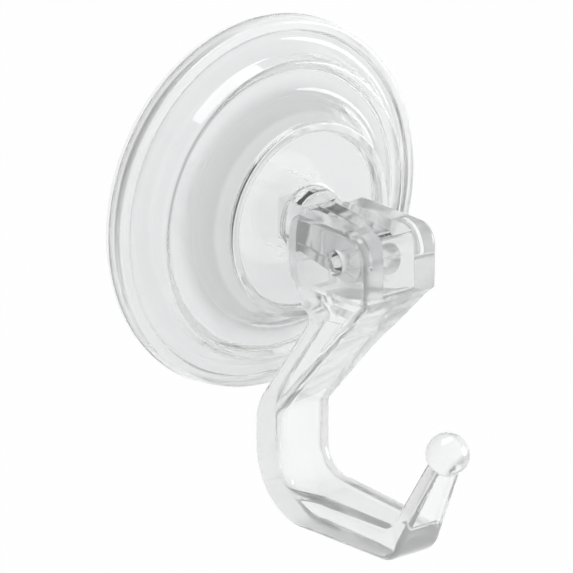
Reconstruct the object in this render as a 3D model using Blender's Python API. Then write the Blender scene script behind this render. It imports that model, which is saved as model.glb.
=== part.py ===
"""Clear lever-lock suction cup hook.

A soft cup seals against a wall. A rigid stepped cap sits over it, and a stud that is anchored in the cup comes
out through a keyed collar in the middle of the cap. The stud's eye carries a cross pin, and the pin carries the
lever, which is clevis, cam and hook in one moulding. With the hook hanging down the cam holds the stud drawn
forward, and the cup is locked; lifting the hook lets the stud go back.

Frame: +Z is up, the wall is the plane y = 0 on the +Y side, and the cup's axis is the Y axis. "Forward" is the
distance from the wall, which is -y. "Ahead" is the same direction counted from the cross pin, whose centre is
the origin of the lever and of the pin.
"""

import math
from collections import namedtuple

import bmesh
import bpy
from mathutils import Vector

MM = 0.001

# Gaps between pieces that touch, slide or turn on each other
SEAT_GAP = 0.3 * MM
SLIDE_GAP = 0.35 * MM
SIDE_GAP = 0.4 * MM
CAM_GAP = 0.4 * MM

# Fillets that several edges share
FINE_FILLET = 0.3 * MM
FILLET = 0.8 * MM
WIDE_FILLET = 1.6 * MM

# Soft suction cup
LIP_SETBACK = 0.3 * MM
LIP_THICKNESS = 1.05 * MM
LIP_TAPER = 0.5 * MM
SEAL_WIDTH = 2.0 * MM
HOLLOW_DEPTH = 5.0 * MM
HOLLOW_POWER = 2.2
MEMBRANE = 1.45 * MM
BOSS_WALL = 1.3 * MM
BOSS_FLARE = 2.2 * MM

# Stud anchored in the cup
STUD_FLANGE_RADIUS = 6.6 * MM
STUD_FLANGE_THICKNESS = 1.8 * MM
STUD_TRAVEL = 0.8 * MM
STUD_HALF_WIDTH = 3.1 * MM
STUD_HALF_HEIGHT = 3.6 * MM
STUD_EYE_RADIUS = 4.4 * MM

# Rigid pressure cap: radii and forward heights of its steps
CAP_RADIUS = 34.6 * MM
CAP_WALL = 1.9 * MM
RIM_WALL = 1.0 * MM
RIM_DRAFT = 0.5 * MM
BEAD_HEIGHT = 4.6 * MM
BEAD_WIDTH = 1.7 * MM
GUTTER_HEIGHT = 4.05 * MM
GUTTER_WIDTH = 1.5 * MM
SHOULDER_FLARE = 0.9 * MM
SHOULDER_SPREAD = 2.8 * MM
SHOULDER_HEIGHT = 8.8 * MM
SHOULDER_WALL_HEIGHT = 2.6 * MM
TERRACE_WIDTH = 5.4 * MM
TERRACE_RISE = 0.3 * MM
CONE_WIDTH = 4.3 * MM
PLATEAU_HEIGHT = 15.5 * MM
RIM_BEAD_WIDTH = 1.2 * MM
RIM_BEAD_HEIGHT = 0.35 * MM
COLLAR_RADIUS = 6.2 * MM
COLLAR_HEIGHT = 2.9 * MM

# Cross pin, whose one head is sunk in the left cheek, a little below the cup's axis
PIN_FORWARD = 32.0 * MM
PIN_DROP = 1.8 * MM
PIN_RADIUS = 1.5 * MM
PIN_HEAD_RADIUS = 2.1 * MM
PIN_HEAD_LENGTH = 1.1 * MM
PIN_RECESS = 0.25 * MM

# Head of the lever, measured ahead of the pin and above it
HEAD_TOP = 6.05 * MM
HEAD_REACH = 8.8 * MM
HEAD_FRONT_BOTTOM = -5.7 * MM
HEAD_NOSE_RADIUS = 4.0 * MM
HEAD_HALF_WIDTH_FRONT = 8.4 * MM
HEAD_HALF_WIDTH_BACK = 8.2 * MM
CHEEK_BOTTOM = -10.4 * MM
CHEEK_SWEEP = 1.6 * MM
SLOT_FLOOR = -8.3 * MM
SLOT_FLOOR_FRONT = -5.6 * MM
SLOT_FLOOR_KNEE = -5.5 * MM
SLOT_FRONT_WALL = 1.65 * MM
EDGE_RADIUS = 1.2 * MM

# Arm: lengths down its sloping front, and depths behind that front
CHIN_ALONG = 2.5 * MM
CHEEK_ALONG = 9.0 * MM
NOTCH_ALONG = 18.0 * MM
ARM_DEPTH_HEAD = 8.0 * MM
ARM_DEPTH_LEG = 5.1 * MM
ARM_SINK = 0.4 * MM
ARM_HALF_WIDTH = 7.6 * MM
ARM_TAPER = 20.0 * MM
FACET_START = 9.7 * MM
FACET_SHOULDER = 13.7 * MM
FACET_KNEE = 26.0 * MM
FACET_END = 36.5 * MM
FACET_INSET = 1.7 * MM
FACET_WIDTH = 3.4 * MM
FACET_DEPTH = 0.45 * MM

# Leg, foot and tip of the hook
LEG_SETBACK = 17.3 * MM
LEG_DEPTH = 7.4 * MM
LEG_TOP = -33.6 * MM
LEG_HALF_WIDTH = 6.35 * MM
HOOK_BOTTOM = -54.5 * MM
HEEL_RADIUS = 12.6 * MM
THROAT_RADIUS = 5.0 * MM
FOOT_DEPTH_BACK = 7.5 * MM
FOOT_DEPTH_FRONT = 7.1 * MM
FOOT_EDGE_RADIUS = 2.2 * MM
TOE_HALF_WIDTH = 5.1 * MM
TOE_REACH = 3.4 * MM
TOE_INNER_REACH = 1.2 * MM
TIP_LEAN = math.radians(27.5)
TIP_DEPTH_TOE = 3.7 * MM
TIP_DEPTH_BALL = 2.9 * MM
TIP_HALF_WIDTH = 3.1 * MM
TIP_EDGE_RADIUS = 0.9 * MM
TIP_LEAD = 0.35 * MM
BALL_AHEAD = 21.5 * MM
BALL_HEIGHT = -31.75 * MM
BALL_RADIUS = 3.95 * MM

# Fineness of round shapes
TURN_STEPS = 60
PIN_STEPS = 28
BALL_STEPS = 20
CORNER_STEPS = 3
CAP_CORNER_STEPS = 2
BEND_STEPS = 6
NOSE_STEPS = 6
CHEEK_STEPS = 4
DOME_STEPS = 7

# Largest share of a side that the curve at one of its corners takes up
LONGEST_REACH = 0.65

# Values that follow from the sizes above
LIP_RADIUS = CAP_RADIUS - LIP_SETBACK
SEAL_INNER_RADIUS = LIP_RADIUS - SEAL_WIDTH
BEAD_INNER_RADIUS = CAP_RADIUS - RIM_DRAFT - BEAD_WIDTH
SHOULDER_BASE_RADIUS = BEAD_INNER_RADIUS - RIM_DRAFT - GUTTER_WIDTH
SHOULDER_RADIUS = SHOULDER_BASE_RADIUS - SHOULDER_SPREAD
TERRACE_INNER_RADIUS = SHOULDER_RADIUS - TERRACE_WIDTH
PLATEAU_RADIUS = TERRACE_INNER_RADIUS - CONE_WIDTH
POCKET_FLOOR = HOLLOW_DEPTH + MEMBRANE
STUD_FLANGE_BACK = POCKET_FLOOR + SEAT_GAP + STUD_TRAVEL
STUD_FLANGE_FRONT = STUD_FLANGE_BACK + STUD_FLANGE_THICKNESS
POCKET_FRONT = STUD_FLANGE_FRONT + SEAT_GAP
POCKET_RADIUS = STUD_FLANGE_RADIUS + SLIDE_GAP
POCKET_MOUTH_RADIUS = math.hypot(STUD_HALF_WIDTH, STUD_HALF_HEIGHT) + SLIDE_GAP
BOSS_RADIUS = POCKET_RADIUS + BOSS_WALL
BOSS_FRONT = POCKET_FRONT + BOSS_WALL
RIM_BACK = LIP_THICKNESS + SEAT_GAP
COLLAR_FRONT = PLATEAU_HEIGHT + COLLAR_HEIGHT
CAM_RADIUS = PIN_FORWARD - COLLAR_FRONT - CAM_GAP
CHEEK_BACK = CHEEK_SWEEP - CAM_RADIUS
SLOT_HALF_WIDTH = STUD_HALF_WIDTH + SIDE_GAP
LEG_FRONT = -LEG_SETBACK
LEG_BACK = LEG_FRONT - LEG_DEPTH
ARM_TOP = Vector((HEAD_REACH, HEAD_FRONT_BOTTOM))
ARM_END = Vector((LEG_FRONT, LEG_TOP))
ARM_LENGTH = (ARM_END - ARM_TOP).length
ARM_DOWN = (ARM_END - ARM_TOP) / ARM_LENGTH
ARM_BEHIND = Vector((ARM_DOWN.y, -ARM_DOWN.x))
TIP_UP = Vector((math.sin(TIP_LEAN), math.cos(TIP_LEAN)))
TIP_BEHIND = Vector((-math.cos(TIP_LEAN), math.sin(TIP_LEAN)))
BALL_CENTRE = Vector((BALL_AHEAD, BALL_HEIGHT))
TIP_MIDDLE = BALL_CENTRE - TIP_BEHIND * TIP_LEAD
PIN_ORIGIN = Vector((0.0, -PIN_FORWARD, -PIN_DROP))
EYE_CENTRE = Vector((PIN_FORWARD, -PIN_DROP))

# A bend of the lever: its corner and the reach of its curve on the back and on the front, half its width, and
# the radii of its long edges on the back and on the front
Bend = namedtuple("Bend", "back front back_reach front_reach half_width back_edge front_edge")


def clear_scene():
    """Remove what the file holds, so that the model starts empty."""
    for old in list(bpy.data.objects):
        bpy.data.objects.remove(old, do_unlink=True)
    for old in list(bpy.data.meshes):
        bpy.data.meshes.remove(old)


def clear_plastic(name, colour, roughness, transmission, ior):
    """Return a see-through plastic with the given tint and gloss."""
    material = bpy.data.materials.new(name)
    material.use_nodes = True
    shader = material.node_tree.nodes["Principled BSDF"]
    shader.inputs["Base Color"].default_value = (*colour, 1.0)
    shader.inputs["Roughness"].default_value = roughness
    shader.inputs["Metallic"].default_value = 0.0
    shader.inputs["Transmission Weight"].default_value = transmission
    shader.inputs["IOR"].default_value = ior
    return material


def finished(name, shape, origin=None):
    """Turn a closed bmesh into a smooth-shaded object, with its origin at a world place."""
    bmesh.ops.recalc_face_normals(shape, faces=shape.faces)
    mesh = bpy.data.meshes.new(name)
    shape.to_mesh(mesh)
    shape.free()
    mesh.shade_smooth()
    mesh.set_sharp_from_angle(angle=math.radians(35.0))
    piece = bpy.data.objects.new(name, mesh)
    piece.location = origin or (0.0, 0.0, 0.0)
    bpy.context.scene.collection.objects.link(piece)
    return piece


def combine(piece, tool, operation):
    """Add a Boolean with a hidden cutter or filler, which then follows the piece."""
    tool.hide_render = True
    tool.display_type = "WIRE"
    tool.location = tool.location - piece.location
    tool.parent = piece
    step = piece.modifiers.new(tool.name, "BOOLEAN")
    step.operation = operation
    step.object = tool
    step.solver = "EXACT"


def arc(start, corner, end, steps):
    """Return points on the circular arc from start to end that is tangent to the corner's two sides."""
    into = (corner - start).normalized()
    out = (end - corner).normalized()
    weight = math.cos(0.5 * into.angle(out))
    points = []
    for k in range(steps + 1):
        t = k / steps
        shares = ((1.0 - t) ** 2, 2.0 * t * (1.0 - t) * weight, t**2)
        total = start * shares[0] + corner * shares[1] + end * shares[2]
        points.append(total / sum(shares))
    return points


def turn_corner(before, corner, after, reach, steps):
    """Return the curve at a corner, which starts and ends at a reach from it, or less on short sides."""
    reach = min(reach, LONGEST_REACH * (before - corner).length, LONGEST_REACH * (after - corner).length)
    start = corner + (before - corner).normalized() * reach
    end = corner + (after - corner).normalized() * reach
    return arc(start, corner, end, steps)


def rounded(corners, closed=False, steps=CORNER_STEPS):
    """Return an outline through 2-D corners (a, b, radius), with an arc of its radius at each corner."""
    places = [Vector(corner[:2]) for corner in corners]
    points = []
    for i, (place, corner) in enumerate(zip(places, corners)):
        if corner[2] <= 0.0 or (not closed and i in (0, len(places) - 1)):
            points.append(place)
            continue
        before = places[i - 1]
        after = places[(i + 1) % len(places)]
        half = 0.5 * (before - place).angle(after - place)
        fineness = 1 if corner[2] <= FINE_FILLET else steps
        points += turn_corner(before, place, after, corner[2] / math.tan(half), fineness)
    return points


def skin(name, loops, origin=None):
    """Join a row of loops with the same number of points, and close both ends."""
    shape = bmesh.new()
    rings = [[shape.verts.new(place) for place in loop] for loop in loops]
    for ring, following in zip(rings, rings[1:]):
        for i in range(len(ring)):
            j = (i + 1) % len(ring)
            shape.faces.new((ring[i], ring[j], following[j], following[i]))
    shape.faces.new(rings[0])
    shape.faces.new(list(reversed(rings[-1])))
    return finished(name, shape, origin)


def prism(name, outline, half_width, origin=None):
    """Extrude a closed outline of (ahead, height) points to both sides of the middle plane."""
    loops = [[(across, -ahead, height) for ahead, height in outline] for across in (-half_width, half_width)]
    return skin(name, loops, origin)


def revolve(name, outline, place, steps, origin=None):
    """Turn a closed outline of (radius, along) points, set out by place; radius 0 closes on the axis."""
    shape = bmesh.new()
    rings = []
    for radius, along in outline:
        ring = []
        for i in range(steps if radius > 0.0 else 1):
            turn = 2.0 * math.pi * i / steps
            ring.append(shape.verts.new(place(radius * math.cos(turn), radius * math.sin(turn), along)))
        rings.append(ring)
    for ring, following in zip(rings, rings[1:] + rings[:1]):
        if len(ring) == 1 and len(following) == 1:
            continue
        for i in range(steps):
            j = (i + 1) % steps
            corners = [ring[i % len(ring)], ring[j % len(ring)]]
            corners += [following[j % len(following)], following[i % len(following)]]
            shape.faces.new(list(dict.fromkeys(corners)))
    return finished(name, shape, origin)


def about_cup(first, second, forward):
    """Place a turned point about the cup's axis."""
    return Vector((first, -forward, second))


def about_pin(first, second, across):
    """Place a turned point about the cross pin's axis."""
    return Vector((across, first, second))


def hollow_forward(radius):
    """Return how far the hollow's surface stands off the wall at a radius."""
    return HOLLOW_DEPTH * (1.0 - min(radius / SEAL_INNER_RADIUS, 1.0) ** HOLLOW_POWER)


def membrane_forward(radius):
    """Return how far the cup's front surface stands off the wall at a radius."""
    return hollow_forward(radius) + MEMBRANE


def cup_outline():
    """Return the cup's section: hollow, sealing ring, lip, front, and the boss with the stud's pocket."""
    hollow = [(0.0, HOLLOW_DEPTH)]
    for i in range(1, DOME_STEPS + 1):
        radius = SEAL_INNER_RADIUS * i / DOME_STEPS
        hollow.append((radius, hollow_forward(radius)))
    under_rim = CAP_RADIUS - RIM_WALL - 2.0 * FINE_FILLET
    lip = [
        (LIP_RADIUS - 0.5 * LIP_TAPER, 0.0),
        (LIP_RADIUS, 0.5 * LIP_TAPER),
        (LIP_RADIUS - LIP_TAPER, LIP_THICKNESS),
        (under_rim, LIP_THICKNESS),
    ]
    outer = under_rim - FINE_FILLET
    inner = BOSS_RADIUS + BOSS_FLARE
    front = []
    for i in range(DOME_STEPS):
        radius = outer + (inner - outer) * i / (DOME_STEPS - 1)
        front.append((radius, membrane_forward(radius)))
    boss = rounded(
        [
            (*front[-1], 0.0),
            (BOSS_RADIUS, membrane_forward(BOSS_RADIUS), FILLET),
            (BOSS_RADIUS, BOSS_FRONT, FILLET),
            (POCKET_MOUTH_RADIUS, BOSS_FRONT, 0.0),
        ]
    )
    pocket = [
        (POCKET_MOUTH_RADIUS, POCKET_FRONT),
        (POCKET_RADIUS, POCKET_FRONT),
        (POCKET_RADIUS, POCKET_FLOOR),
        (0.0, POCKET_FLOOR),
    ]
    return hollow + lip + front + boss[1:] + pocket


def suction_cup():
    """Soft cup with a flat sealing ring and a boss that holds the stud's flange."""
    return revolve("suction_cup", cup_outline(), about_cup, TURN_STEPS)


def cap_outside():
    """Return the cap's outer section, from the rim over its steps to the collar's front."""
    terrace = SHOULDER_HEIGHT + TERRACE_RISE
    bead_inner = BEAD_INNER_RADIUS
    plateau_bead = PLATEAU_HEIGHT + RIM_BEAD_HEIGHT
    plateau_inner = PLATEAU_RADIUS - RIM_BEAD_WIDTH
    corners = [
        (CAP_RADIUS, RIM_BACK, 0.0),
        (CAP_RADIUS - RIM_DRAFT, BEAD_HEIGHT, FILLET),
        (bead_inner, BEAD_HEIGHT, FINE_FILLET),
        (bead_inner - RIM_DRAFT, GUTTER_HEIGHT, FINE_FILLET),
        (SHOULDER_BASE_RADIUS, GUTTER_HEIGHT, WIDE_FILLET),
        (SHOULDER_RADIUS + SHOULDER_FLARE, SHOULDER_HEIGHT - SHOULDER_WALL_HEIGHT, WIDE_FILLET),
        (SHOULDER_RADIUS, SHOULDER_HEIGHT, FILLET),
        (TERRACE_INNER_RADIUS, terrace, WIDE_FILLET),
        (PLATEAU_RADIUS + RIM_BEAD_HEIGHT, plateau_bead - RIM_BEAD_WIDTH, FILLET),
        (PLATEAU_RADIUS, plateau_bead, FINE_FILLET),
        (plateau_inner, plateau_bead, FINE_FILLET),
        (plateau_inner - RIM_BEAD_HEIGHT, PLATEAU_HEIGHT, 0.0),
        (COLLAR_RADIUS, PLATEAU_HEIGHT, FILLET),
        (COLLAR_RADIUS, COLLAR_FRONT, FINE_FILLET),
        (0.0, COLLAR_FRONT, 0.0),
    ]
    return rounded(corners, steps=CAP_CORNER_STEPS)


def cap_inside():
    """Return the cap's inner section, from under the plateau back to the rim, clear of the cup."""
    terrace = SHOULDER_HEIGHT + TERRACE_RISE
    rim_inner = CAP_RADIUS - RIM_WALL
    seat = rim_inner - FINE_FILLET
    corners = [
        (0.0, PLATEAU_HEIGHT - CAP_WALL, 0.0),
        (PLATEAU_RADIUS - CAP_WALL, PLATEAU_HEIGHT - CAP_WALL, FILLET),
        (TERRACE_INNER_RADIUS - CAP_WALL, terrace - CAP_WALL, FILLET),
        (SHOULDER_RADIUS - CAP_WALL, SHOULDER_HEIGHT - CAP_WALL, FILLET),
        (SHOULDER_RADIUS + SHOULDER_FLARE - CAP_WALL, GUTTER_HEIGHT, FILLET),
        (SHOULDER_BASE_RADIUS, membrane_forward(SHOULDER_BASE_RADIUS) + SLIDE_GAP, 0.0),
        (seat, membrane_forward(seat) + SLIDE_GAP, 0.0),
        (rim_inner, RIM_BACK, 0.0),
    ]
    return rounded(corners, steps=1)


def pressure_cap():
    """Rigid stepped cap with a raised plateau and a keyed collar round the stud."""
    cap = revolve("pressure_cap", cap_outside() + cap_inside(), about_cup, TURN_STEPS)
    half_height = STUD_HALF_HEIGHT + SLIDE_GAP
    back = PLATEAU_HEIGHT - 2.0 * CAP_WALL
    front = COLLAR_FRONT + CAP_WALL
    outline = [(back, -half_height), (front, -half_height), (front, half_height), (back, half_height)]
    combine(cap, prism("keyway_cutter", outline, STUD_HALF_WIDTH + SLIDE_GAP), "DIFFERENCE")
    return cap


def eye_turn(shoulder, side):
    """Return where on the eye the tangent from a shoulder of the neck ends; side is -1 below and 1 above."""
    reach = shoulder - EYE_CENTRE
    return math.atan2(side * reach.y, -reach.x) + math.acos(STUD_EYE_RADIUS / reach.length)


def stud_neck_outline():
    """Return the side view of the stud's flat neck, which is straight in the collar and runs out to its eye."""
    root = STUD_FLANGE_FRONT - 0.5 * STUD_FLANGE_THICKNESS
    end = COLLAR_FRONT + STUD_TRAVEL + SEAT_GAP
    below = Vector((end, -STUD_HALF_HEIGHT))
    above = Vector((end, STUD_HALF_HEIGHT))
    outline = [Vector((root, STUD_HALF_HEIGHT)), Vector((root, -STUD_HALF_HEIGHT)), below]
    first = eye_turn(below, -1.0) - math.pi
    last = math.pi - eye_turn(above, 1.0)
    steps = PIN_STEPS // 2
    for i in range(steps + 1):
        turn = first + (last - first) * i / steps
        outline.append(EYE_CENTRE + STUD_EYE_RADIUS * Vector((math.cos(turn), math.sin(turn))))
    outline.append(above)
    return outline


def anchor_stud():
    """Flanged stud: the flange lies in the cup's pocket, the flat neck ends in an eye for the pin."""
    flange = rounded(
        [
            (0.0, STUD_FLANGE_BACK, 0.0),
            (STUD_FLANGE_RADIUS, STUD_FLANGE_BACK, FINE_FILLET),
            (STUD_FLANGE_RADIUS, STUD_FLANGE_FRONT, FINE_FILLET),
            (0.0, STUD_FLANGE_FRONT, 0.0),
        ]
    )
    stud = revolve("anchor_stud", flange, about_cup, TURN_STEPS)
    combine(stud, prism("stud_neck", stud_neck_outline(), STUD_HALF_WIDTH), "UNION")
    radius = PIN_RADIUS + SEAT_GAP
    reach = 2.0 * STUD_HALF_WIDTH
    bore = [(0.0, -reach), (radius, -reach), (radius, reach), (0.0, reach)]
    combine(stud, revolve("stud_bore", bore, about_pin, PIN_STEPS, PIN_ORIGIN), "DIFFERENCE")
    return stud


def head_half_width(ahead):
    """Return half the head's width, which grows from back to front."""
    share = (ahead + CAM_RADIUS) / (HEAD_REACH + CAM_RADIUS)
    return HEAD_HALF_WIDTH_BACK + (HEAD_HALF_WIDTH_FRONT - HEAD_HALF_WIDTH_BACK) * share


def head_back(height):
    """Return where the head's back is at a height: the cam's arc above the pin, a soft sweep below."""
    if height >= 0.0:
        return -math.sqrt(CAM_RADIUS**2 - height**2)
    return CHEEK_SWEEP * (height / CHEEK_BOTTOM) ** 2 - CAM_RADIUS


def top_inset(height):
    """Return how far the rounded top edge draws the back and the sides in at a height."""
    rise = max(height - (HEAD_TOP - EDGE_RADIUS), 0.0)
    return EDGE_RADIUS - math.sqrt(max(EDGE_RADIUS**2 - rise**2, 0.0))


def section(back, front, half_back, half_front, back_edge, front_edge):
    """Return a closed loop: a trapezoid between a back and a front place, with rounded corners."""
    depth = (front - back).length
    direction = (front - back) / depth
    corners = [
        (0.0, -half_back, back_edge),
        (depth, -half_front, front_edge),
        (depth, half_front, front_edge),
        (0.0, half_back, back_edge),
    ]
    loop = []
    for deep, across in rounded(corners, closed=True):
        place = back + direction * deep
        loop.append(Vector((across, -place.x, place.y)))
    return loop


def head_section(height, front):
    """Return the head's level loop at a height."""
    inset = top_inset(height)
    back = head_back(height) + inset
    half_back = head_half_width(back) - inset
    half_front = head_half_width(front) - inset
    places = Vector((back, height)), Vector((front, height))
    return section(*places, half_back, half_front, EDGE_RADIUS, EDGE_RADIUS)


def head_sections():
    """Return the head's loops, from its top round the nose and down to the start of the arm."""
    loops = []
    nose_height = HEAD_TOP - HEAD_NOSE_RADIUS
    for i in range(NOSE_STEPS + 1):
        turn = math.radians(90.0) * i / NOSE_STEPS
        front = HEAD_REACH - HEAD_NOSE_RADIUS * (1.0 - math.sin(turn))
        loops.append(head_section(nose_height + HEAD_NOSE_RADIUS * math.cos(turn), front))
    for i in range(1, CHEEK_STEPS + 1):
        height = nose_height + (HEAD_FRONT_BOTTOM - nose_height) * i / CHEEK_STEPS
        loops.append(head_section(height, HEAD_REACH))
    return loops


def arm_place(along, depth):
    """Return the place at a length down the arm's sloping front and a depth behind it."""
    return ARM_TOP + ARM_DOWN * along + ARM_BEHIND * depth


def arm_half_width(along):
    """Return half the arm's width at a length down its front, where it tapers to the leg's."""
    share = min(along / ARM_TAPER, 1.0)
    return ARM_HALF_WIDTH + (LEG_HALF_WIDTH - ARM_HALF_WIDTH) * share


def meet(first, first_way, second, second_way):
    """Return where two lines cross, each given by a place and a way."""
    offset = second - first
    along = offset.cross(second_way) / first_way.cross(second_way)
    return first + first_way * along


def lever_bends():
    """Return the lever's bends from the head to the ball; the first and the last are plain ends."""
    down = Vector((0.0, -1.0))
    heel_back = Vector((LEG_BACK, HOOK_BOTTOM))
    throat = Vector((LEG_FRONT, HOOK_BOTTOM + FOOT_DEPTH_BACK))
    toe_outer = meet(heel_back, Vector((1.0, 0.0)), TIP_MIDDLE - TIP_BEHIND * 0.5 * TIP_DEPTH_TOE, TIP_UP)
    tip_inner = TIP_MIDDLE + TIP_BEHIND * 0.5 * TIP_DEPTH_TOE
    foot_front = Vector((toe_outer.x, HOOK_BOTTOM + FOOT_DEPTH_FRONT))
    toe_inner = meet(throat, foot_front - throat, tip_inner, TIP_UP)
    leg_top_back = meet(arm_place(0.0, ARM_DEPTH_LEG), ARM_DOWN, heel_back, down)
    cheek = Vector((CHEEK_BACK, CHEEK_BOTTOM))
    notch = arm_place(NOTCH_ALONG, ARM_DEPTH_HEAD)
    spread = 0.3 * CHEEK_ALONG
    start = Vector((head_back(HEAD_FRONT_BOTTOM), HEAD_FRONT_BOTTOM))
    low = 0.5 * (HEAD_FRONT_BOTTOM + CHEEK_BOTTOM)
    chin = Vector((head_back(low), low))
    edge = EDGE_RADIUS
    foot_edge = FOOT_EDGE_RADIUS
    tip_end_outer = TIP_MIDDLE - TIP_BEHIND * 0.5 * TIP_DEPTH_BALL
    tip_end_inner = TIP_MIDDLE + TIP_BEHIND * 0.5 * TIP_DEPTH_BALL
    return [
        Bend(start, ARM_TOP, 0.0, 0.0, HEAD_HALF_WIDTH_BACK, edge, edge),
        Bend(chin, arm_place(CHIN_ALONG, 0.0), FILLET, FILLET, arm_half_width(CHIN_ALONG), edge, edge),
        Bend(cheek, arm_place(CHEEK_ALONG, 0.0), FILLET, spread, arm_half_width(CHEEK_ALONG), edge, edge),
        Bend(notch, arm_place(NOTCH_ALONG, ARM_SINK), WIDE_FILLET, spread, arm_half_width(NOTCH_ALONG), edge, edge),
        Bend(leg_top_back, ARM_END, 2.0 * WIDE_FILLET, FILLET, LEG_HALF_WIDTH, edge, foot_edge),
        Bend(heel_back, throat, HEEL_RADIUS, THROAT_RADIUS, LEG_HALF_WIDTH, edge, foot_edge),
        Bend(toe_outer, toe_inner, TOE_REACH, TOE_INNER_REACH, TOE_HALF_WIDTH, edge, edge),
        Bend(tip_end_outer, tip_end_inner, 0.0, 0.0, TIP_HALF_WIDTH, TIP_EDGE_RADIUS, TIP_EDGE_RADIUS),
    ]


def bend_sections(before, bend, after):
    """Return the loops round one bend, its back and front curves paired step by step."""
    backs = turn_corner(before.back, bend.back, after.back, bend.back_reach, BEND_STEPS)
    fronts = turn_corner(before.front, bend.front, after.front, bend.front_reach, BEND_STEPS)
    loops = []
    for back, front in zip(backs, fronts):
        half_back = bend.half_width
        if bend.back.y > HEAD_FRONT_BOTTOM + CHEEK_BOTTOM:
            half_back = min(half_back, head_half_width(back.x))
        loops.append(section(back, front, half_back, bend.half_width, bend.back_edge, bend.front_edge))
    return loops


def lever_sections():
    """Return all loops of the lever, from the top of its head to the end of its tip."""
    bends = lever_bends()
    loops = head_sections()
    for before, bend, after in zip(bends, bends[1:], bends[2:]):
        loops += bend_sections(before, bend, after)
    end = bends[-1]
    loops.append(section(end.back, end.front, end.half_width, end.half_width, end.back_edge, end.front_edge))
    return loops


def tip_ball():
    """Return the round end of the hook's tip."""
    shape = bmesh.new()
    bmesh.ops.create_uvsphere(shape, u_segments=BALL_STEPS, v_segments=BALL_STEPS // 2, radius=BALL_RADIUS)
    bmesh.ops.translate(shape, verts=shape.verts, vec=(0.0, -BALL_CENTRE.x, BALL_CENTRE.y))
    return finished("tip_ball", shape, PIN_ORIGIN)


def slot_cutter():
    """Return the clevis slot: open at the back and the top, with a floor that rises to a thin front wall."""
    front = HEAD_REACH - SLOT_FRONT_WALL
    top = HEAD_TOP + WIDE_FILLET
    back = -CAM_RADIUS - WIDE_FILLET
    corners = [
        (SLOT_FLOOR_KNEE, SLOT_FLOOR, WIDE_FILLET),
        (front, SLOT_FLOOR_FRONT, WIDE_FILLET),
        (front, top, 0.0),
        (back, top, 0.0),
        (back, SLOT_FLOOR, 0.0),
    ]
    return prism("slot_cutter", rounded(corners, closed=True), SLOT_HALF_WIDTH, PIN_ORIGIN)


def facet_cutter(name, side):
    """Return the cutter of the spear-shaped facet on one side of the arm; side is -1 or 1."""
    outline = [
        (FACET_START, FACET_INSET),
        (FACET_SHOULDER, FACET_INSET + FACET_WIDTH),
        (FACET_KNEE, FACET_INSET + 0.75 * FACET_WIDTH),
        (FACET_END, FACET_INSET),
    ]
    floor = []
    outside = []
    for along, depth in outline:
        place = arm_place(along, depth)
        floor.append((side * (arm_half_width(along) - FACET_DEPTH), -place.x, place.y))
        outside.append((side * (HEAD_HALF_WIDTH_FRONT + EDGE_RADIUS), -place.x, place.y))
    return skin(name, [floor, outside], PIN_ORIGIN)


def lever_bore():
    """Return the cutter of the pin's hole through both cheeks, with the seat of the pin's head on the left."""
    radius = PIN_RADIUS + SEAT_GAP
    head_radius = PIN_HEAD_RADIUS + SEAT_GAP
    reach = 2.0 * HEAD_HALF_WIDTH_FRONT
    seat = PIN_RECESS + PIN_HEAD_LENGTH + SEAT_GAP - head_half_width(0.0)
    outline = [(0.0, -reach), (head_radius, -reach), (head_radius, seat), (radius, seat), (radius, reach), (0.0, reach)]
    return revolve("lever_bore", outline, about_pin, PIN_STEPS, PIN_ORIGIN)


def lever_hook():
    """Clevis head with cam, sloping arm, leg, foot and tip with its ball, in one moulding."""
    lever = skin("lever_hook", lever_sections(), PIN_ORIGIN)
    combine(lever, tip_ball(), "UNION")
    combine(lever, slot_cutter(), "DIFFERENCE")
    combine(lever, lever_bore(), "DIFFERENCE")
    combine(lever, facet_cutter("left_facet", -1.0), "DIFFERENCE")
    combine(lever, facet_cutter("right_facet", 1.0), "DIFFERENCE")
    return lever


def pivot_pin():
    """Cross pin through the cheeks and the stud's eye."""
    half = head_half_width(0.0) - PIN_RECESS
    corners = [
        (0.0, -half, 0.0),
        (PIN_HEAD_RADIUS, -half, FINE_FILLET),
        (PIN_HEAD_RADIUS, PIN_HEAD_LENGTH - half, 0.0),
        (PIN_RADIUS, PIN_HEAD_LENGTH - half, 0.0),
        (PIN_RADIUS, half, FINE_FILLET),
        (0.0, half, 0.0),
    ]
    return revolve("pivot_pin", rounded(corners), about_pin, PIN_STEPS, PIN_ORIGIN)


def build():
    """Model every piece and give it its plastic."""
    clear_scene()
    soft = clear_plastic("soft_clear_vinyl", (0.93, 0.94, 0.94), 0.18, 0.9, 1.5)
    rigid = clear_plastic("rigid_clear_plastic", (0.96, 0.97, 0.97), 0.06, 0.95, 1.49)
    suction_cup().data.materials.append(soft)
    for piece in (pressure_cap(), anchor_stud(), lever_hook(), pivot_pin()):
        piece.data.materials.append(rigid)


if __name__ == "__main__":
    build()
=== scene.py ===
"""Looks of the clear lever-lock suction cup hook.

Light bends at every facet of a clear piece, so each piece is modelled here again in finer steps than the
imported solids, at the same sizes, and rides on the body of the solid that it replaces. Sizes are in
millimetres and turned into metres where a place is made. "Forward" is the distance from the wall; "ahead"
and "height" are counted from the cross pin.
"""

import logging
import math
from collections.abc import Callable
from dataclasses import dataclass, field, replace
from enum import Enum

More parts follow.
